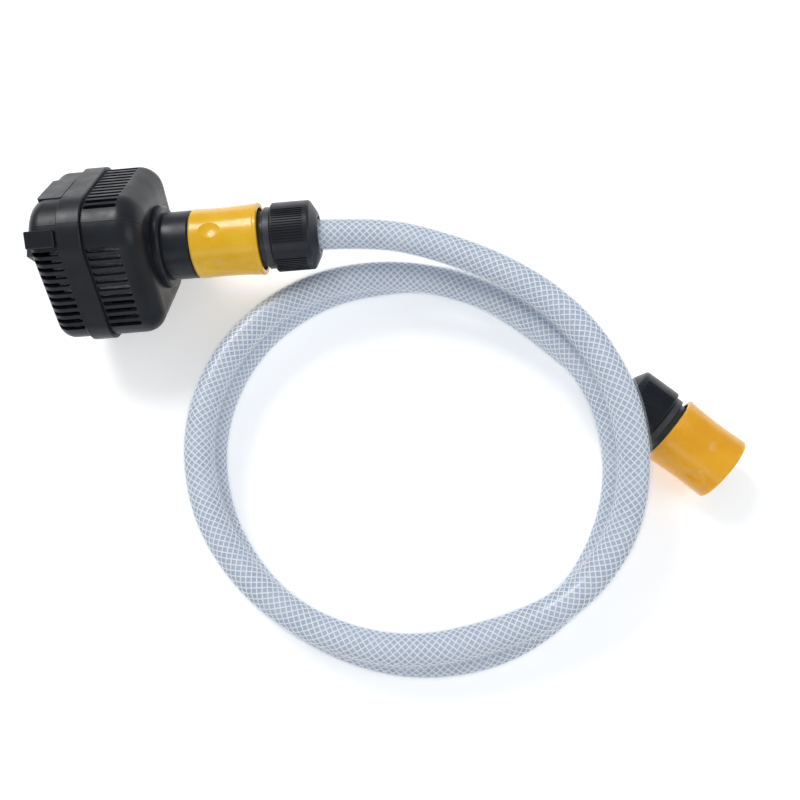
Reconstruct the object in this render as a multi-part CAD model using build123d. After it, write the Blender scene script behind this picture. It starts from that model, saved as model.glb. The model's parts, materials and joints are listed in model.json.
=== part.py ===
"""Suction strainer head on a clear braided hose with a push-fit connector at each end.

The strainer head and the first connector share one axis, which rises a little towards the hose.
The hose leaves that connector, makes two and a bit clockwise turns on the floor and ends in the
second connector, which lies free. +X runs along the head towards the hose, +Z is up, and the origin
is under the middle of the head and its connector.
"""
from build123d import *
from math import cos, pi, radians, sin, sqrt, tan
import os

# ---------------------------------------------------------------- driving dimensions, mm and degrees
HOSE_OD = 17.0
HOSE_ID = 12.7
HOSE_GAP = 0.1               # running clearance of the parts that slide along the hose

BAND_HALF = 35.0             # half the width across the flats of the raised band
BAND_SEAM_R = 23.0           # its corner radius at the seams, top and bottom
BAND_SIDE_R = 13.0           # its corner radius at the sides
BAND_WIDTH = 11.0
BAND_STEP = 1.8              # how far the casing lies inside the band
SEAM_STEP = 0.35             # how far the rear half of the band lies inside the front half
SEAM_GAP = 0.1               # each half stops this far short of the parting plane
WALL = 2.2
BLIND_X = -21.0              # closed end of the casing, from the band's middle
SHOULDER_X = 31.0            # hose end of the casing
BLIND_FILLET = 7.0
SHOULDER_FILLET = 10.5
CASE_HALF = BAND_HALF - BAND_STEP
CASE_SEAM_R = BAND_SEAM_R - BAND_STEP
CASE_SIDE_R = BAND_SIDE_R - BAND_STEP

SLOT_WIDTH = 2.2
SLOT_PITCH = 3.9
SLOT_LENGTH = 15.5
FRONT_SLOTS = 11
FRONT_SLOT_START = 13.0      # arc length from the seam to the first slot's middle
REAR_SLOTS = 12
REAR_SLOT_START = 8.0

TILT = 3.0                   # rise of the head's axis towards the hose
ROLL = 6.0                   # lean of the top seam towards -Y
BAND_CENTRE = (-42.4, 0.18, 40.72)

SOCKET_MOUTH = 48.0          # connector's mouth, from the band's middle
NECK_R = 16.6
COLLAR_R = 20.0
CHAMBER_R = 12.5
SCREEN_R = 22.0

SLEEVE_LENGTH = 33.0
CLAW_RATIO = 0.2             # slope of the sleeve's inner cone, and of the claws
CONE_END = 8.0
CONE_END_R = 12.7
DIMPLES = 6
DIMPLE_BALL_R = 14.0
DIMPLE_DEPTH = 1.0
CLAW_ARC = 50.0
NUT_START = 39.3
NUT_END = 61.5
NUT_R = 16.9
HOSE_SEAT = 41.0             # hose end inside the connector, from the mouth

FREE_MOUTH = (258.5, -125.8, 17.8)
FREE_YAW = 137.0             # direction from the free connector's mouth to its hose

# ---------------------------------------------------------------- small helpers


def turned(*points, arc=360.0, start=0.0):
    """Solid of revolution about X from (x, radius) points."""
    outline = make_face(Polyline(*points, close=True))
    return Rot(start, 0, 0) * revolve(outline, axis=Axis.X, revolution_arc=arc)


def ring(x0, x1, inner, outer, arc=360.0, start=0.0):
    """Plain ring, or a sector of one, about X."""
    return turned((x0, inner), (x1, inner), (x1, outer), (x0, outer), arc=arc, start=start)


def spring(x0, x1, mean_r, wire_r, turns):
    """Open coil about X whose wire lies between x0 and x1."""
    length = x1 - x0 - 2 * wire_r
    path = Helix(pitch=length / turns, height=length, radius=mean_r)
    wire = Plane(origin=path @ 0, z_dir=path % 0) * Circle(wire_r)
    coil = sweep(wire, path=path)
    return Pos(x0 + wire_r, 0, 0) * Rot(0, 90, 0) * coil


def along(origin, yaw, pitch):
    """Location whose X axis points along yaw and pitch, with Z as far up as it can be."""
    cy, sy = cos(radians(yaw)), sin(radians(yaw))
    cp, sp = cos(radians(pitch)), sin(radians(pitch))
    return Location(Plane(origin=origin, x_dir=(cy * cp, sy * cp, sp), z_dir=(-cy * sp, -sy * sp, cp)))


def diamond(half, seam_r, side_r):
    """Square stood on its corner, in the plane across X, with rounded corners."""
    corner = half * sqrt(2)
    face = Polygon((corner, 0), (0, corner), (-corner, 0), (0, -corner), align=None)
    seams = [v for v in face.vertices() if abs(v.Y) > 1]
    face = fillet(seams, seam_r)
    sides = [v for v in face.vertices() if abs(abs(v.X) - corner) < 0.01]
    return fillet(sides, side_r)


def bar(x0, x1, half, seam_r, side_r):
    """Diamond-section bar from x0 to x1."""
    return Pos(x0, 0, 0) * extrude(Plane.YZ * diamond(half, seam_r, side_r), amount=x1 - x0)


def surface_place(arc, side, up, x):
    """Place on the casing's outside, that far round from a seam.

    side is -1 for the front half and 1 for the rear, up is 1 from the top seam and -1 from the
    bottom one. The place's Z axis points out of the casing.
    """
    seam_len = CASE_SEAM_R * pi / 4
    flat_len = 2 * CASE_HALF - CASE_SEAM_R - CASE_SIDE_R
    seam_y = (CASE_HALF - CASE_SEAM_R) * sqrt(2)
    side_y = (CASE_HALF - CASE_SIDE_R) * sqrt(2)
    if arc < seam_len:
        turn = arc / CASE_SEAM_R
        y, z = CASE_SEAM_R * sin(turn), seam_y + CASE_SEAM_R * cos(turn)
    elif arc < seam_len + flat_len:
        turn = pi / 4
        run = arc - seam_len
        y = (CASE_SEAM_R + run) / sqrt(2)
        z = seam_y + (CASE_SEAM_R - run) / sqrt(2)
    else:
        turn = pi / 4 + (arc - seam_len - flat_len) / CASE_SIDE_R
        y, z = side_y + CASE_SIDE_R * sin(turn), CASE_SIDE_R * cos(turn)
    normal = (0, side * sin(turn), up * cos(turn))
    return Location(Plane(origin=(x, side * y, up * z), x_dir=(1, 0, 0), z_dir=normal))


HEAD = along(BAND_CENTRE, 0, TILT)
HEAD_ROLLED = HEAD * Rot(ROLL, 0, 0)
FIRST = HEAD * Pos(SOCKET_MOUTH, 0, 0)
FREE = along(FREE_MOUTH, FREE_YAW, 0)

# ---------------------------------------------------------------- casing


def slots(side, x_from, x_to, count, first):
    """Water slots of one half, above and below, as a list of cutters."""
    middle = (x_from + x_to) / 2
    cutter = extrude(SlotOverall(x_to - x_from, SLOT_WIDTH), amount=8, both=True)
    cuts = []
    for up in (1, -1):
        for n in range(count):
            cuts.append(surface_place(first + n * SLOT_PITCH, side, up, middle) * cutter)
    return cuts


def casing():
    """Both halves of the hollow casing with its raised band."""
    outer = bar(BLIND_X, SHOULDER_X, CASE_HALF, CASE_SEAM_R, CASE_SIDE_R)
    outer = fillet(outer.faces().sort_by(Axis.X)[0].edges(), BLIND_FILLET)
    outer = fillet(outer.faces().sort_by(Axis.X)[-1].edges(), SHOULDER_FILLET)
    inner = bar(BLIND_X + WALL, SHOULDER_X - WALL, CASE_HALF - WALL, CASE_SEAM_R - WALL,
                CASE_SIDE_R - WALL)
    inner = fillet(inner.faces().sort_by(Axis.X)[0].edges(), BLIND_FILLET - WALL)
    inner = fillet(inner.faces().sort_by(Axis.X)[-1].edges(), SHOULDER_FILLET - WALL)
    neck_hole = ring(SHOULDER_X - WALL - 1, SHOULDER_X + 1, 0, COLLAR_R + 0.3)
    edge = BAND_WIDTH / 2
    halves = {}
    for name, side, step in (("front", -1, 0.0), ("rear", 1, SEAM_STEP)):
        band = bar(-edge, edge, BAND_HALF - step, BAND_SEAM_R - step, BAND_SIDE_R - step)
        band = chamfer(band.faces().filter_by(Axis.X).edges(), 0.5)
        keep = Pos(0, side * (60 + SEAM_GAP), 0) * Box(160, 120, 160)
        halves[name] = ((outer + band) & keep) - inner - neck_hole
    return halves


def front_shell():
    shell = casing()["front"]
    edge = BAND_WIDTH / 2
    shell = shell - slots(-1, edge + 0.6, edge + 0.6 + SLOT_LENGTH, FRONT_SLOTS, FRONT_SLOT_START)
    shell = shell - slots(-1, BLIND_X + 1.5, -edge - 0.6, FRONT_SLOTS, FRONT_SLOT_START)
    block = fillet(Box(13.5, 8.0, 3.2).edges().filter_by(Axis.Z), 0.8)
    block = chamfer(block.faces().sort_by(Axis.Z)[-1].edges(), 0.4)
    pad = Pos(0, 0, -0.2) * block
    for up in (1, -1):
        shell = shell + surface_place(6.2, -1, up, BLIND_X / 2 - 3.0) * pad
        tab = Pos(BLIND_X - 0.8, -6.5, up * 25.5) * Box(3.6, 9.0, 9.0)
        shell = shell + chamfer(tab.faces().sort_by(Axis.X)[0].edges(), 0.6)
    lip = Pos(BLIND_X + 2.5, -26.5, -11.5) * Rot(45, 0, 0) * Box(7.0, 3.0, 6.0)
    return shell + lip


def rear_shell():
    shell = casing()["rear"]
    edge = BAND_WIDTH / 2
    shell = shell - slots(1, edge + 0.6, edge + 0.6 + SLOT_LENGTH, REAR_SLOTS, REAR_SLOT_START)
    plate = Pos(0, 0, -0.3) * fillet(Box(11.5, 24.0, 1.4).edges().filter_by(Axis.Z), 1.5)
    shell = shell + surface_place(30.0, 1, 1, BLIND_X / 2 - 2.0) * plate
    lip_y = 2.4
    lip = bar(BLIND_X + WALL + 6, SHOULDER_X - WALL - 10, CASE_HALF - WALL, CASE_SEAM_R - WALL,
              CASE_SIDE_R - WALL)
    lip = lip - bar(BLIND_X, SHOULDER_X, CASE_HALF - WALL - 1.2, CASE_SEAM_R - WALL - 1.2,
                    CASE_SIDE_R - WALL - 1.2)
    lip = lip - Pos(0, -60 - lip_y, 0) * Box(160, 120, 160) - Pos(0, 60 + lip_y, 0) * Box(160, 120, 160)
    relief = bar(BLIND_X, SHOULDER_X, CASE_HALF - WALL - 0.3, CASE_SEAM_R - WALL - 0.3,
                 CASE_SIDE_R - WALL - 0.3)
    tongue = (lip & relief & (Pos(0, -60 + SEAM_GAP, 0) * Box(160, 120, 160))) + (
        lip & (Pos(0, 60 + SEAM_GAP, 0) * Box(160, 120, 160)))
    return shell + tongue

# ---------------------------------------------------------------- neck, screen and foot valve


FLANGE_X = 25.3
GASKET_X = 27.8
SEAT_END = 29.5
GUIDE_X = 41.0
CHAMBER_END = 46.0
NIPPLE_BORE = 4.4


def outlet_tube():
    """Flange, collar, neck and male nipple, with the valve chamber inside."""
    m = SOCKET_MOUTH
    body = turned(
        (FLANGE_X, CHAMBER_R), (FLANGE_X, 23.0), (GASKET_X, 23.0), (GASKET_X, COLLAR_R),
        (33.5, COLLAR_R), (34.5, COLLAR_R - 1.0), (34.5, NECK_R), (47.0, NECK_R), (47.6, NECK_R - 0.6),
        (47.6, 8.4), (m + 4, 8.4), (m + 4.5, 7.3), (m + 8.5, 7.3), (m + 9, 8.4), (m + 12.2, 8.4),
        (m + 12.9, 8.05), (m + 14, 8.05), (m + 14, 6.2), (m + 17, 6.2), (m + 17, 8.05),
        (m + 21.5, 8.05), (m + 22.2, 7.3), (m + 22.2, NIPPLE_BORE), (47.6, NIPPLE_BORE),
        (CHAMBER_END, CHAMBER_R))
    return body


def neck_gasket():
    return ring(GASKET_X, SHOULDER_X - WALL, COLLAR_R + 0.3, 23.0)


def nipple_seal():
    return Pos(SOCKET_MOUTH + 15.5, 0, 0) * Rot(0, 90, 0) * Torus(7.12, 0.92)


def screen_frame():
    """End ring, end cap and eight ribs that hold the screen open."""
    cap_x = BLIND_X + WALL + 1.5
    frame = ring(FLANGE_X - 2.8, FLANGE_X - 0.05, SCREEN_R - 3.0, SCREEN_R)
    frame = frame + turned((cap_x, 0), (cap_x + 2.2, 0), (cap_x + 2.2, SCREEN_R), (cap_x + 0.7, SCREEN_R),
                           (cap_x, SCREEN_R - 0.7))
    rib = Pos((cap_x + FLANGE_X - 0.8) / 2, SCREEN_R - 2.0, 0) * Box(FLANGE_X - 3.4 - cap_x, 1.8, 2.4)
    for n in range(8):
        frame = frame + Rot(n * 45 + 22.5, 0, 0) * rib
    for n in range(1, 4):
        x = cap_x + 2.2 + n * (FLANGE_X - 2.8 - cap_x - 2.2) / 4
        frame = frame + ring(x - 0.7, x + 0.7, SCREEN_R - 2.9, SCREEN_R - 1.1)
    return frame


def screen_mesh():
    return ring(BLIND_X + WALL + 3.75, FLANGE_X - 2.85, SCREEN_R - 1.05, SCREEN_R - 0.45)


def valve_seat():
    r = CHAMBER_R - 0.02
    return turned((FLANGE_X, 8.2), (28.6, 7.2), (29.0, 7.2), (29.0, 9.2), (28.6, 9.4), (28.6, r),
                  (FLANGE_X, r))


def valve_guide():
    guide = ring(GUIDE_X, GUIDE_X + 3, 2.1, 4.2) + ring(GUIDE_X, GUIDE_X + 3, 11.0, CHAMBER_R - 0.02)
    for n in range(3):
        arm = Pos(GUIDE_X + 1.5, 7.6, 0) * Box(3, 7.6, 2.2)
        guide = guide + Rot(n * 120 + 30, 0, 0) * arm
    return guide


POPPET_X = 29.3


def valve_poppet():
    x = POPPET_X
    return turned((x - 2.0, 0), (x - 2.0, 2.2), (x - 1.2, 3.0), (x + 1.0, 3.0), (x + 1.0, 10.2),
                  (x + 2.6, 10.2), (x + 3.0, 9.8), (x + 3.0, 6.2), (x + 4.2, 6.2), (x + 4.2, 2.0),
                  (GUIDE_X + 2.6, 2.0), (GUIDE_X + 3.0, 1.6), (GUIDE_X + 3.0, 0))


def poppet_seal():
    return ring(POPPET_X, POPPET_X + 1.0, 3.0, 10.2)


def valve_spring():
    return spring(POPPET_X + 4.25, GUIDE_X - 0.05, 4.6, 0.4, 4.5)

# ---------------------------------------------------------------- hose connector, mouth at x = 0


def land_radius(x):
    """Inside radius of the sleeve's cone, x from the mouth."""
    return CONE_END_R + CLAW_RATIO * (CONE_END - x)


def socket_body():
    """Socket, spring seat, threaded spigot and barb in one moulding."""
    barb = []
    for n in range(4):
        x = 44.5 + 3.2 * n
        barb += [(x, 5.85), (x, 6.3), (x + 0.6, 6.3)]
    body = turned(
        (1.0, 8.5), (1.0, 12.5), (1.4, 12.9), (4.6, 12.9), (4.9, 12.3), (17.5, 12.3), (17.8, 11.8),
        (25.0, 11.8), (25.0, 15.1), (27.0, 15.1), (27.0, 13.5), (35.5, 13.5), (35.5, 14.8), (35.8, 15.1),
        (38.7, 15.1), (39.0, 14.8), (39.0, 13.8), (48.0, 13.8), (48.0, 10.8), (HOSE_SEAT, 10.8),
        (HOSE_SEAT, 6.3), (42.5, 6.3), *barb, (58.0, 5.6), (58.0, NIPPLE_BORE), (22.5, NIPPLE_BORE),
        (22.5, 8.1), (13.0, 8.1), (12.5, 8.5))
    windows = [ring(4.9, 8.2, 7.0, 14.0, arc=CLAW_ARC + 3, start=n * 120 - (CLAW_ARC + 3) / 2)
               for n in range(3)]
    return body - windows


def lock_claw(number):
    """One claw: its tip sits in the nipple's groove and its back follows the sleeve's cone."""
    gap = 0.1
    x0, x1 = 5.05, 8.05
    claw = turned((x0, 8.3), (x0 + 0.7, 7.6), (x1, 7.6), (x1, land_radius(x1) - gap),
                  (x0, land_radius(x0) - gap), arc=CLAW_ARC, start=number * 120 - CLAW_ARC / 2)
    return claw


def sleeve():
    """Release sleeve: slightly waisted, with a rolled rim and finger dimples."""
    waist = Spline(
        (0.9, 17.0), (10.0, 16.75), (22.0, 16.95), (31.0, 17.55), tangents=((1, -0.03), (1, 0.1)))
    outline = waist + Polyline(
        waist @ 1, (31.6, 17.75), (32.6, 17.75), (SLEEVE_LENGTH, 17.35), (SLEEVE_LENGTH, 15.4), (12.0, 15.4),
        (12.0, 12.4), (9.5, 12.4), (CONE_END, CONE_END_R), (0.0, land_radius(0)), (0.0, 16.3), waist @ 0)
    body = revolve(make_face(outline), axis=Axis.X)
    ball_at = 16.8 + DIMPLE_BALL_R - DIMPLE_DEPTH
    balls = []
    for n in range(DIMPLES):
        balls.append(Rot(n * 360 / DIMPLES, 0, 0) * Pos(10.5, 0, ball_at) * Sphere(DIMPLE_BALL_R))
    return body - balls


def sleeve_spring():
    return spring(12.1, 24.9, 13.9, 0.55, 5)


COLLET_CONE = ((51.0, 11.3), (57.4, 10.0))


def hose_collet():
    r = HOSE_OD / 2 + HOSE_GAP
    collet = turned((42.0, r), (42.0, 10.4), (49.4, 10.4), (49.9, 11.3), *COLLET_CONE, (57.4, r))
    return collet - Pos(50, 0, 10) * Box(20, 1.6, 6)


def hose_nut():
    """Clamping nut: ribbed panels, a domed hose side and a cone that squeezes the collet."""
    thread_r = 13.9
    cone = [(x + 0.2, r + 0.35) for x, r in COLLET_CONE]
    nut = turned(
        (NUT_START, thread_r), (NUT_START, 16.4), (39.8, NUT_R), (57.4, NUT_R), (58.3, 16.3), (61.2, 11.2),
        (NUT_END, 10.4), (NUT_END, 8.9), (57.8, 8.9), cone[1], cone[0], (49.4, 11.65), (49.4, thread_r))
    panel_ribs = 14
    rib_turn = 4.5
    groove = Pos(47.8, 0, NUT_R) * Box(15.0, 0.7, 0.9)
    grooves = []
    for panel in range(4):
        for n in range(panel_ribs):
            turn = panel * 90 + (n - (panel_ribs - 1) / 2) * rib_turn
            grooves.append(Rot(turn, 0, 0) * groove)
    return nut - grooves

# ---------------------------------------------------------------- hose route

FLOOR_LAYER = HOSE_OD / 2 + 0.1
TOP_LAYER = FLOOR_LAYER + HOSE_OD + 0.3
TURN_POINTS = 14             # route points in one turn of the coil
COIL_POINTS = 23
COIL_START = -64.0           # angle of the coil's first point about its middle
OUT_OF_ROUND = 5.26          # the turns are longer along this direction
LONG_WAY = -32.2             # direction of the coil's longer axis
COIL_R = 92.94
COIL_R_GROWTH = 5.45         # wider by this much each turn
COIL_CENTRE = (96.6, -108.7)
COIL_DRIFT = (8.17, -1.32)   # the centre moves this far each turn
# heights where the second turn climbs over the end of the hose and comes down beside the first
RISE = {9: 27.0, 10: 33.5, 11: 39.5, 12: 28.5, 13: 10.0}


def coil_point(n):
    """Route point n of the coil: the turns widen and drift as they go round clockwise."""
    turns = n / TURN_POINTS
    angle = COIL_START - 360 * turns
    radius = COIL_R + COIL_R_GROWTH * turns + OUT_OF_ROUND * cos(radians(2 * (angle - LONG_WAY)))
    radius = radius / cos(pi / TURN_POINTS)
    x = COIL_CENTRE[0] + COIL_DRIFT[0] * turns + radius * cos(radians(angle))
    y = COIL_CENTRE[1] + COIL_DRIFT[1] * turns + radius * sin(radians(angle))
    layer = TOP_LAYER if n < TURN_POINTS - 1 else FLOOR_LAYER
    return (x, y, RISE.get(n, layer))


def on_axis(place, x):
    """Point on a connector's axis, x from its mouth."""
    point = (place * Pos(x, 0, 0)).position
    return (point.X, point.Y, point.Z)


LEAD_IN = [(128.5, -11.2, 47.5), (163.5, -31.0, 50.0), (189.0, -58.5, 54.0), (203.5, -93.0, 55.5),
           (207.0, -127.5, 47.5), (198.5, -159.0, 36.5), (174.0, -184.5, 29.0)]
LEAD_OUT = [(141.0, -14.0, FLOOR_LAYER), (172.0, -37.5, 8.9)]
EXIT_RUN = 45.0
ENTRY_RUN = 40.0

ROUTE = [on_axis(FIRST, HOSE_SEAT), on_axis(FIRST, HOSE_SEAT + EXIT_RUN), *LEAD_IN]
ROUTE += [coil_point(n) for n in range(COIL_POINTS)]
ROUTE += [*LEAD_OUT, on_axis(FREE, HOSE_SEAT + ENTRY_RUN), on_axis(FREE, HOSE_SEAT)]


def corner_radii(route):
    """Arc radius at each inner point of the route: 0.45 of the shorter run over tan(half turn)."""
    radii = []
    for before, here, after in zip(route, route[1:], route[2:]):
        into = Vector(*here) - Vector(*before)
        away = Vector(*after) - Vector(*here)
        half = radians(into.get_angle(away)) / 2
        radii.append(0.45 * min(into.length, away.length) / tan(half))
    return radii


def hose():
    radii = corner_radii(ROUTE)
    path = FilletPolyline(*ROUTE, radius=radii)
    start = Plane(origin=path @ 0, z_dir=path % 0)
    section = start * (Circle(HOSE_OD / 2) - Circle(HOSE_ID / 2))
    tube = sweep(section, path=path)
    area = pi * (HOSE_OD ** 2 - HOSE_ID ** 2) / 4
    print("hose radii", [round(r) for r in radii])
    print("hose length %.1f, volume over section times length %.4f"
          % (path.length, tube.volume / (area * path.length)))
    return tube

# ---------------------------------------------------------------- assembly


def assembly():
    """Every node by name, in its place."""
    nodes = {
        "front_shell": HEAD_ROLLED * front_shell(),
        "rear_shell": HEAD_ROLLED * rear_shell(),
        "hose": hose(),
    }
    for maker in (outlet_tube, neck_gasket, nipple_seal, screen_frame, screen_mesh, valve_seat,
                  valve_guide, valve_poppet, poppet_seal, valve_spring):
        nodes[maker.__name__] = HEAD * maker()
    for suffix, place in (("1", FIRST * Rot(5, 0, 0)), ("2", FREE)):
        for maker in (socket_body, sleeve, sleeve_spring, hose_collet, hose_nut):
            nodes[maker.__name__ + "_" + suffix] = place * maker()
        for number, letter in enumerate("abc"):
            nodes["lock_claw_" + suffix + letter] = place * lock_claw(number)
    return nodes


NODES = assembly()
os.makedirs("parts", exist_ok=True)
for node_name, shape in NODES.items():
    shape.label = node_name
    export_step(shape, "parts/" + node_name + ".step")
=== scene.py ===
"""The strainer head and its coiled clear hose, dressed for a photograph.

Everything is in metres in the CAD model's frame. The moulded parts, springs and seals keep their CAD
meshes and get materials. The hose is a cord: a clear outer tube over a milky liner, with a braid of
white yarn between the two.
"""
import json
from math import cos, pi, radians, sin

import bpy
import numpy as np
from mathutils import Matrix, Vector


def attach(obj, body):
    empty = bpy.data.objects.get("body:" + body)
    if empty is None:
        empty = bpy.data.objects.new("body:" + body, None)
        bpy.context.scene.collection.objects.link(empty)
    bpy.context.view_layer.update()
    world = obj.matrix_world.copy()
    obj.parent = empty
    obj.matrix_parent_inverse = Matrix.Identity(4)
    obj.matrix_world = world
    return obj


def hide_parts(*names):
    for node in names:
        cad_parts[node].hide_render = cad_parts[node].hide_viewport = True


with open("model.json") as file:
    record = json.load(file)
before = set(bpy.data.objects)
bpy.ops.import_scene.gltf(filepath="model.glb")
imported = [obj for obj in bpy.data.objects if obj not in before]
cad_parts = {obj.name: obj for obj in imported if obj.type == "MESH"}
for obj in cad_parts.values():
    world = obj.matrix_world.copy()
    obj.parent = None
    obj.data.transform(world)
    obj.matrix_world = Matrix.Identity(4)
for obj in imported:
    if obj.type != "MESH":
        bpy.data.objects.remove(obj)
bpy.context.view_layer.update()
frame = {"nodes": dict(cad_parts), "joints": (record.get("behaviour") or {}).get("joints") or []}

NODES = frame["nodes"]
MM = 0.001

# ---------------------------------------------------------------- camera and light

CAMERA_PLACE = (0.0949, -0.1835, 0.4057)
CAMERA_AIM = (0.1019, -0.0750, 0.0)
LENS = 35.73
SENSOR = 36.0
NEAREST = 0.01               # the camera sees nothing closer than this
OBJECT_MIDDLE = (0.1, -0.08, 0.0)
WORLD_STRENGTH = 0.45
FLOOR_GLOW = 0.38            # a lit tabletop, which keeps the shadows faint
FLOOR_HALF = 4.0


def add(name, data):
    """New object in the scene."""
    made = bpy.data.objects.new(name, data)
    bpy.context.scene.collection.objects.link(made)
    return made


def look(made, place, target):
    """Put a camera or a light in its place, looking at the target."""
    made.location = place
    toward = Vector(target) - made.location
    made.rotation_euler = toward.to_track_quat("-Z", "Y").to_euler()


def camera():
    data = bpy.data.cameras.new("camera")
    data.lens = LENS
    data.sensor_width = SENSOR
    data.clip_start = NEAREST
    made = add("camera", data)
    look(made, CAMERA_PLACE, CAMERA_AIM)
    bpy.context.scene.camera = made


def softbox(name, place, size, power, colour=(1.0, 1.0, 1.0)):
    """Rectangular soft light that looks at the object's middle."""
    data = bpy.data.lights.new(name, "AREA")
    data.shape = "RECTANGLE"
    data.size, data.size_y = size
    data.energy = power
    data.color = colour
    look(add(name, data), place, OBJECT_MIDDLE)


def studio():
    """Three soft lights in pale surroundings."""
    softbox("key", place=(-0.5, 0.7, 1.1), size=(0.5, 0.5), power=9.5)
    softbox("fill", place=(1.1, -0.3, 0.9), size=(0.8, 0.8), power=3.2, colour=(0.93, 0.96, 1.0))
    softbox("front", place=(0.0, -1.1, 0.7), size=(1.2, 0.4), power=1.6)
    world = bpy.data.worlds.new("surroundings")
    world.use_nodes = True
    background = world.node_tree.nodes["Background"]
    background.inputs["Color"].default_value = (0.96, 0.98, 1.0, 1.0)
    background.inputs["Strength"].default_value = WORLD_STRENGTH
    bpy.context.scene.world = world
    bpy.context.scene.view_settings.view_transform = "Standard"


def tabletop():
    """Pale floor."""
    mesh = bpy.data.meshes.new("floor")
    corners = [(FLOOR_HALF * x, FLOOR_HALF * y, 0) for x, y in ((-1, -1), (1, -1), (1, 1), (-1, 1))]
    mesh.from_pydata(corners, [], [(0, 1, 2, 3)])
    floor = add("floor", mesh)
    paint, shader = material("floor", (0.93, 0.935, 0.94), roughness=0.8, specular=0.1)
    shader.inputs["Emission Color"].default_value = (1.0, 1.0, 1.0, 1.0)
    shader.inputs["Emission Strength"].default_value = FLOOR_GLOW
    grain(paint, shader, scale=60.0, depth=0.00005, strength=0.1)
    floor.data.materials.append(paint)


# ---------------------------------------------------------------- materials

COAT_ROUGHNESS = 0.08
GLOSS_SPAN = (0.3, 0.7)      # noise values between which the gloss changes
SHADE_SPAN = (0.35, 0.65)    # noise values between which the colour changes
EDGE_SPAN = (0.54, 0.68)     # pointiness between which the painted edge highlight grows
EDGE_MOST = 0.7              # share of the painted highlight colour on the sharpest edges
MIX_COLOUR_IN = 6            # the Mix node's first colour socket
MIX_COLOUR_OUT = 2
WIRE_SCALE = 420.0
WIRE_DEPTH = 0.0003
CLEAR_ALPHA = 0.12


def material(name, colour, roughness=0.4, metallic=0.0, specular=0.5, coat=0.0, alpha=1.0):
    """A principled material with its uniform values on the shader."""
    made = bpy.data.materials.new(name)
    made.use_nodes = True
    shader = made.node_tree.nodes["Principled BSDF"]
    shader.inputs["Base Color"].default_value = (*colour, 1.0)
    shader.inputs["Roughness"].default_value = roughness
    shader.inputs["Metallic"].default_value = metallic
    shader.inputs["Specular IOR Level"].default_value = specular
    shader.inputs["Coat Weight"].default_value = coat
    shader.inputs["Coat Roughness"].default_value = COAT_ROUGHNESS
    shader.inputs["Alpha"].default_value = alpha
    return made, shader


def noise(made, scale, detail):
    """Noise over the object, with a scale in cells per metre."""
    tree = made.node_tree
    place = tree.nodes.new("ShaderNodeTexCoord")
    texture = tree.nodes.new("ShaderNodeTexNoise")
    texture.inputs["Scale"].default_value = scale
    texture.inputs["Detail"].default_value = detail
    tree.links.new(place.outputs["Object"], texture.inputs["Vector"])
    return texture


def grain(made, shader, scale, depth, strength):
    """Fine surface texture, depth metres deep."""
    tree = made.node_tree
    texture = noise(made, scale, detail=6.0)
    bump = tree.nodes.new("ShaderNodeBump")
    bump.inputs["Strength"].default_value = strength
    bump.inputs["Distance"].default_value = depth
    tree.links.new(texture.outputs["Fac"], bump.inputs["Height"])
    tree.links.new(bump.outputs["Normal"], shader.inputs["Normal"])


def gloss_variation(made, shader, scale, low, high):
    """Roughness that wanders between two values, like handling marks."""
    tree = made.node_tree
    texture = noise(made, scale, detail=3.0)
    spread = tree.nodes.new("ShaderNodeMapRange")
    spread.inputs["From Min"].default_value = GLOSS_SPAN[0]
    spread.inputs["From Max"].default_value = GLOSS_SPAN[1]
    spread.inputs["To Min"].default_value = low
    spread.inputs["To Max"].default_value = high
    tree.links.new(texture.outputs["Fac"], spread.inputs["Value"])
    tree.links.new(spread.outputs["Result"], shader.inputs["Roughness"])


def colour_variation(made, shader, first, second, scale):
    """Base colour that drifts between two near shades."""
    tree = made.node_tree
    texture = noise(made, scale, detail=5.0)
    ramp = tree.nodes.new("ShaderNodeValToRGB")
    ramp.color_ramp.elements[0].position = SHADE_SPAN[0]
    ramp.color_ramp.elements[0].color = (*first, 1.0)
    ramp.color_ramp.elements[1].position = SHADE_SPAN[1]
    ramp.color_ramp.elements[1].color = (*second, 1.0)
    tree.links.new(texture.outputs["Fac"], ramp.inputs["Fac"])
    tree.links.new(ramp.outputs["Color"], shader.inputs["Base Color"])
    return ramp


def painted_edge_highlight(made, shader, ramp, highlight_colour):
    """Painted highlight: sharp outer edges are a little paler than the faces, standing in for the light
    that rounded edges catch.
    """
    tree = made.node_tree
    geometry = tree.nodes.new("ShaderNodeNewGeometry")
    edge = tree.nodes.new("ShaderNodeMapRange")
    edge.inputs["From Min"].default_value = EDGE_SPAN[0]
    edge.inputs["From Max"].default_value = EDGE_SPAN[1]
    edge.inputs["To Max"].default_value = EDGE_MOST
    mix = tree.nodes.new("ShaderNodeMix")
    mix.data_type = "RGBA"
    mix.inputs["B"].default_value = (*highlight_colour, 1.0)
    tree.links.new(geometry.outputs["Pointiness"], edge.inputs["Value"])
    tree.links.new(edge.outputs["Result"], mix.inputs["Factor"])
    tree.links.new(ramp.outputs["Color"], mix.inputs[MIX_COLOUR_IN])
    tree.links.new(mix.outputs[MIX_COLOUR_OUT], shader.inputs["Base Color"])


def black_plastic(name, tint):
    dark = tuple(tint * part for part in (0.0075, 0.009, 0.0125))
    pale = tuple(tint * part for part in (0.0105, 0.013, 0.018))
    made, shader = material(name, dark, specular=0.3)
    ramp = colour_variation(made, shader, dark, pale, scale=55.0)
    # painted highlight: sharp edges paler, standing in for the light they catch
    painted_edge_highlight(made, shader, ramp, (0.035, 0.04, 0.05))
    gloss_variation(made, shader, scale=140.0, low=0.28, high=0.42)
    grain(made, shader, scale=2600.0, depth=0.00006, strength=0.35)
    return made


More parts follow.
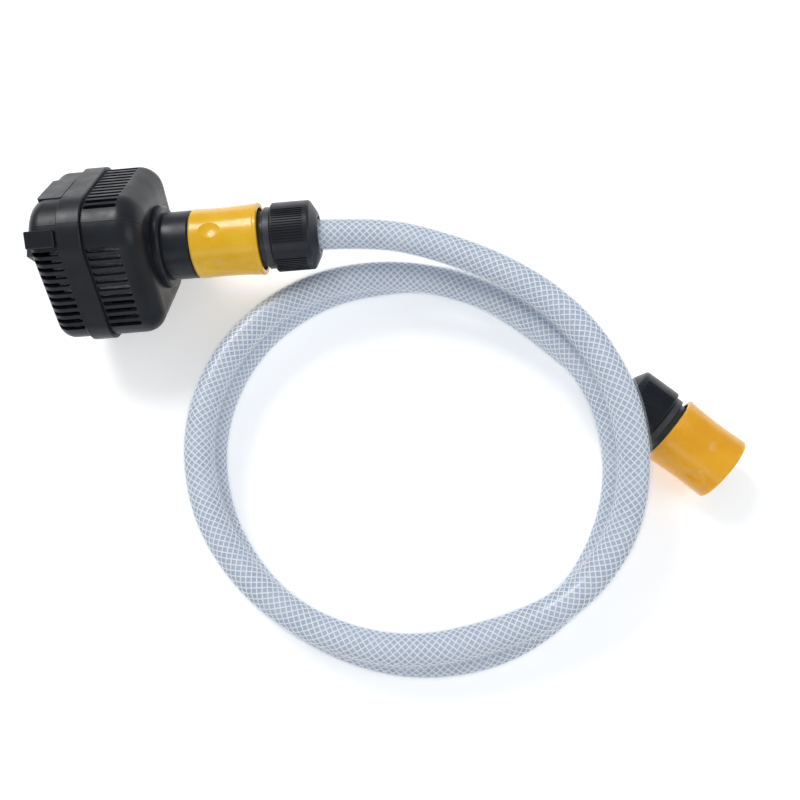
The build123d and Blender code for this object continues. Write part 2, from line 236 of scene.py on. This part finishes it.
def yellow_plastic(name, first, second):
    made, shader = material(name, first, specular=0.4, coat=0.2)
    shader.inputs["Subsurface Weight"].default_value = 0.08
    shader.inputs["Subsurface Radius"].default_value = (0.003, 0.0015, 0.0004)
    ramp = colour_variation(made, shader, first, second, scale=70.0)
    # painted highlight: sharp edges paler, standing in for the light they catch
    painted_edge_highlight(made, shader, ramp, (0.98, 0.66, 0.1))
    gloss_variation(made, shader, scale=160.0, low=0.2, high=0.32)
    grain(made, shader, scale=1500.0, depth=0.00004, strength=0.2)
    return made


def plain_plastic(name, first, second):
    made, shader = material(name, first)
    colour_variation(made, shader, first, second, scale=90.0)
    gloss_variation(made, shader, scale=170.0, low=0.3, high=0.45)
    grain(made, shader, scale=2000.0, depth=0.00005, strength=0.3)
    return made


def steel():
    made, shader = material("spring_steel", (0.55, 0.56, 0.57), metallic=1.0)
    colour_variation(made, shader, (0.42, 0.43, 0.44), (0.62, 0.62, 0.63), scale=300.0)
    gloss_variation(made, shader, scale=900.0, low=0.2, high=0.38)
    grain(made, shader, scale=4000.0, depth=0.00002, strength=0.3)
    return made


def rubber():
    made, shader = material("rubber", (0.012, 0.012, 0.013), specular=0.3)
    colour_variation(made, shader, (0.010, 0.010, 0.011), (0.02, 0.02, 0.021), scale=200.0)
    gloss_variation(made, shader, scale=300.0, low=0.55, high=0.75)
    grain(made, shader, scale=3500.0, depth=0.00008, strength=0.5)
    return made


def woven_screen():
    """Plain weave of fine wires, from two crossed sets of bands."""
    made, shader = material("woven_screen", (0.5, 0.51, 0.52), metallic=0.8)
    colour_variation(made, shader, (0.36, 0.37, 0.38), (0.55, 0.56, 0.57), scale=120.0)
    gloss_variation(made, shader, scale=400.0, low=0.3, high=0.5)
    tree = made.node_tree
    place = tree.nodes.new("ShaderNodeTexCoord")
    height = tree.nodes.new("ShaderNodeMath")
    height.operation = "MAXIMUM"
    for slot_number, direction in enumerate(("X", "Z")):
        wires = tree.nodes.new("ShaderNodeTexWave")
        wires.bands_direction = direction
        wires.inputs["Scale"].default_value = WIRE_SCALE
        tree.links.new(place.outputs["Object"], wires.inputs["Vector"])
        tree.links.new(wires.outputs["Fac"], height.inputs[slot_number])
    bump = tree.nodes.new("ShaderNodeBump")
    bump.inputs["Distance"].default_value = WIRE_DEPTH
    tree.links.new(height.outputs["Value"], bump.inputs["Height"])
    tree.links.new(bump.outputs["Normal"], shader.inputs["Normal"])
    return made


def clear_vinyl():
    """Outer layer of the hose: clear, glossy, a little uneven along its length."""
    made, shader = material("clear_vinyl", (0.80, 0.87, 0.95), specular=0.6, coat=0.5, alpha=CLEAR_ALPHA)
    colour_variation(made, shader, (0.76, 0.84, 0.94), (0.86, 0.91, 0.97), scale=60.0)
    gloss_variation(made, shader, scale=110.0, low=0.1, high=0.22)
    grain(made, shader, scale=260.0, depth=0.00025, strength=0.35)
    return made


def milky_vinyl():
    """Inner layer of the hose, cloudy and bluish."""
    made, shader = material("milky_vinyl", (0.48, 0.57, 0.71), specular=0.6)
    shader.inputs["Subsurface Weight"].default_value = 0.1
    shader.inputs["Subsurface Radius"].default_value = (0.004, 0.005, 0.006)
    colour_variation(made, shader, (0.44, 0.53, 0.68), (0.52, 0.61, 0.76), scale=80.0)
    gloss_variation(made, shader, scale=120.0, low=0.16, high=0.28)
    grain(made, shader, scale=500.0, depth=0.00015, strength=0.3)
    return made


def yarn():
    """White polyester yarn, with its fibres as bump."""
    made, shader = material("yarn", (0.9, 0.93, 0.97), specular=0.6)
    colour_variation(made, shader, (0.86, 0.9, 0.95), (0.94, 0.96, 0.99), scale=900.0)
    gloss_variation(made, shader, scale=1200.0, low=0.25, high=0.45)
    grain(made, shader, scale=7000.0, depth=0.00005, strength=0.6)
    return made


def dress(paint, *names):
    """These CAD nodes get that material."""
    for name in names:
        mesh = NODES[name].data
        mesh.materials.clear()
        mesh.materials.append(paint)


def moulded_parts():
    shell = black_plastic("shell_plastic", tint=1.0)
    neck = black_plastic("neck_plastic", tint=1.35)
    dress(shell, "front_shell", "rear_shell")
    dress(neck, "outlet_tube", "hose_nut_1", "hose_nut_2")
    dress(plain_plastic("body_plastic", (0.03, 0.033, 0.038), (0.045, 0.05, 0.056)),
          "socket_body_1", "socket_body_2", "hose_collet_1", "hose_collet_2")
    dress(yellow_plastic("sleeve_yellow_1", (0.84, 0.46, 0.008), (0.9, 0.53, 0.02)), "sleeve_1")
    dress(yellow_plastic("sleeve_yellow_2", (0.84, 0.38, 0.006), (0.9, 0.44, 0.014)), "sleeve_2")
    claws = ["lock_claw_" + number + letter for number in "12" for letter in "abc"]
    dress(plain_plastic("white_acetal", (0.74, 0.74, 0.71), (0.82, 0.82, 0.8)), *claws)
    dress(plain_plastic("grey_plastic", (0.22, 0.23, 0.24), (0.3, 0.31, 0.32)),
          "screen_frame", "valve_seat", "valve_guide", "valve_poppet")
    dress(rubber(), "neck_gasket", "nipple_seal", "poppet_seal")
    dress(steel(), "valve_spring", "sleeve_spring_1", "sleeve_spring_2")
    dress(woven_screen(), "screen_mesh")


# ---------------------------------------------------------------- the hose's route

HOSE_R = 8.5 * MM
LINER_R = 6.9 * MM
BRAID_R = 7.35 * MM
LINER_STEP = 2.0 * MM
LINER_SIDES = 40
YARNS = 13                   # yarns each way round
YARN_WIDTH = 0.9 * MM
YARN_STEP = 0.75 * MM
BRAID_TAN = 1.0              # tangent of the braid's angle to the hose
WEAVE = 0.12 * MM            # how far the yarns go over and under each other
YARN_CROWN = 0.10 * MM       # how much lower a yarn's edges lie than its middle
EDGES = ((-1, -YARN_CROWN), (0, 0.0), (1, -YARN_CROWN))
START_PHASE = {1: 0.5 * pi, -1: 1.5 * pi}
CURVE_STEPS = 16
BEVEL_STEPS = 8
SEAT_BACK = 9.0 * MM         # the hose ends this far before the nut's hinge point
EXIT_RUN = 45.0 * MM
ENTRY_RUN = 40.0 * MM
END_SQUEEZE = 0.96           # the nuts draw the hose in a little at both ends
SAME_PLACE = 1e-9            # points of the line closer than this are one point

# The coil and the points beside it are in mm and degrees.
FLOOR_LAYER = 8.6
TOP_LAYER = 25.9
TURN_POINTS = 14
COIL_POINTS = 23
COIL_START = -64.0
OUT_OF_ROUND = 5.26
LONG_WAY = -32.2
COIL_R = 92.94
COIL_R_GROWTH = 5.45
COIL_CENTRE = (96.6, -108.7)
COIL_DRIFT = (8.17, -1.32)
RISE = {9: 27.0, 10: 33.5, 11: 39.5, 12: 28.5, 13: 10.0}
LEAD_IN = [(128.5, -11.2, 47.5), (163.5, -31.0, 50.0), (189.0, -58.5, 54.0), (203.5, -93.0, 55.5),
           (207.0, -127.5, 47.5), (198.5, -159.0, 36.5), (174.0, -184.5, 29.0)]
LEAD_OUT = [(141.0, -14.0, FLOOR_LAYER), (172.0, -37.5, 8.9)]


def coil_point(n):
    """Route point n of the coil, in mm."""
    turns = n / TURN_POINTS
    angle = COIL_START - 360 * turns
    radius = COIL_R + COIL_R_GROWTH * turns + OUT_OF_ROUND * cos(radians(2 * (angle - LONG_WAY)))
    radius = radius / cos(pi / TURN_POINTS)
    x = COIL_CENTRE[0] + COIL_DRIFT[0] * turns + radius * cos(radians(angle))
    y = COIL_CENTRE[1] + COIL_DRIFT[1] * turns + radius * sin(radians(angle))
    layer = TOP_LAYER if n < TURN_POINTS - 1 else FLOOR_LAYER
    return (x, y, RISE.get(n, layer))


def hose_end(number):
    """The hose's end in a connector, and the direction that it leaves it in."""
    hinge = [joint for joint in frame["joints"] if joint["name"] == "nut_" + number + "_turn"][0]
    axis = Vector(hinge["axis"]).normalized()
    return Vector(hinge["pos_m"]) - SEAT_BACK * axis, axis


def route():
    start, out = hose_end("1")
    end, back = hose_end("2")
    between = [*LEAD_IN, *[coil_point(n) for n in range(COIL_POINTS)], *LEAD_OUT]
    points = [start, start + EXIT_RUN * out]
    points += [Vector(point) * MM for point in between]
    points += [end + ENTRY_RUN * back, end]
    return points


def cord_curve(name, points, radius):
    """Smooth curve that the route's points control."""
    data = bpy.data.curves.new(name, "CURVE")
    data.dimensions = "3D"
    data.resolution_u = CURVE_STEPS
    spline = data.splines.new("NURBS")
    spline.points.add(len(points) - 1)
    for point, place in zip(spline.points, points):
        point.co = (*place, 1.0)
    spline.points[0].radius = END_SQUEEZE
    spline.points[-1].radius = END_SQUEEZE
    spline.order_u = 3
    spline.use_endpoint_u = True
    data.bevel_depth = radius
    data.bevel_resolution = BEVEL_STEPS
    return add(name, data)


def read_line(points):
    """Points along the cord's centre line, from a curve with no bevel."""
    bare = cord_curve("bare_line", points, 0.0)
    bpy.context.view_layer.update()
    mesh = bpy.data.meshes.new_from_object(bare)
    line = np.array([vertex.co for vertex in mesh.vertices], float)
    bpy.data.objects.remove(bare)
    bpy.data.meshes.remove(mesh)
    return line


def evenly(line, step):
    """The line again, with points a fixed distance apart, and the distance to each."""
    runs = np.linalg.norm(np.diff(line, axis=0), axis=1)
    line = line[np.r_[True, runs > SAME_PLACE]]
    reach = np.r_[0, np.cumsum(np.linalg.norm(np.diff(line, axis=0), axis=1))]
    wanted = np.linspace(0, reach[-1], int(reach[-1] / step) + 1)
    return np.stack([np.interp(wanted, reach, line[:, i]) for i in range(3)], axis=1), wanted


def side_vectors(line):
    """Two directions across the line at each point, which turn with it and never twist."""
    tangent = np.gradient(line, axis=0)
    tangent = tangent / np.linalg.norm(tangent, axis=1)[:, None]
    side = np.zeros_like(line)
    side[0] = np.cross(tangent[0], (0.0, 1.0, 0.0))
    side[0] /= np.linalg.norm(side[0])
    for i in range(1, len(line)):
        carried = side[i - 1] - tangent[i] * np.dot(side[i - 1], tangent[i])
        side[i] = carried / np.linalg.norm(carried)
    return side, np.cross(tangent, side)


def grid_faces(rows, across, closed):
    """Faces between rows of vertices, each row joined to the next."""
    row = np.arange(rows - 1)[:, None] * across
    column = np.arange(across if closed else across - 1)[None, :]
    following = (column + 1) % across
    corners = [row + column, row + following, row + across + following, row + across + column]
    return np.stack(corners, axis=2).reshape(-1, 4)


def smooth_mesh(name, vertices, faces):
    mesh = bpy.data.meshes.new(name)
    mesh.from_pydata(vertices.tolist(), [], faces.tolist())
    mesh.shade_smooth()
    mesh.update()
    return mesh


def liner(line):
    """The cloudy inner tube."""
    points, _ = evenly(line, LINER_STEP)
    one, two = side_vectors(points)
    turn = np.linspace(0, 2 * pi, LINER_SIDES, endpoint=False)
    spoke = one[:, None, :] * np.cos(turn)[None, :, None] + two[:, None, :] * np.sin(turn)[None, :, None]
    vertices = (points[:, None, :] + LINER_R * spoke).reshape(-1, 3)
    return smooth_mesh("hose_liner", vertices, grid_faces(len(points), LINER_SIDES, closed=True))


def braid(line, hand):
    """All the yarns that wind one way, as slightly crowned ribbons."""
    points, reach = evenly(line, YARN_STEP)
    one, two = side_vectors(points)
    parts = []
    polygons = []
    offset = 0
    for number in range(YARNS):
        turn = hand * reach * BRAID_TAN / BRAID_R + 2 * pi * number / YARNS
        phase = YARNS * reach * BRAID_TAN / BRAID_R + START_PHASE[hand] + pi * number
        rows = []
        for edge, lift in EDGES:
            shifted = turn + edge * YARN_WIDTH / 2 / BRAID_R
            radius = BRAID_R + lift + WEAVE * np.sin(phase)
            spoke = one * np.cos(shifted)[:, None] + two * np.sin(shifted)[:, None]
            rows.append(points + radius[:, None] * spoke)
        vertices = np.stack(rows, axis=1).reshape(-1, 3)
        faces = grid_faces(len(points), len(EDGES), closed=False)
        parts.append(vertices)
        polygons.append(faces + offset)
        offset += len(vertices)
    return smooth_mesh("hose_braid", np.concatenate(parts), np.concatenate(polygons))


def piece(name, mesh, paint, body):
    """A mesh piece that rides on a body."""
    made = add(name, mesh)
    made.data.materials.append(paint)
    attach(made, body)
    return made


def hose():
    """The clear hose with its liner and braid."""
    points = route()
    tube = cord_curve("clear_hose", points, HOSE_R)
    tube.data.materials.append(clear_vinyl())
    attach(tube, "hose_line")
    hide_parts("hose")
    line = read_line(points)
    thread = yarn()
    inside = piece("hose_liner", liner(line), milky_vinyl(), "hose_line")
    left = piece("hose_braid_left", braid(line, 1), thread, "hose_line")
    right = piece("hose_braid_right", braid(line, -1), thread, "hose_line")


# ---------------------------------------------------------------- the scene

camera()
studio()
tabletop()
moulded_parts()
hose()

bpy.context.view_layer.update()
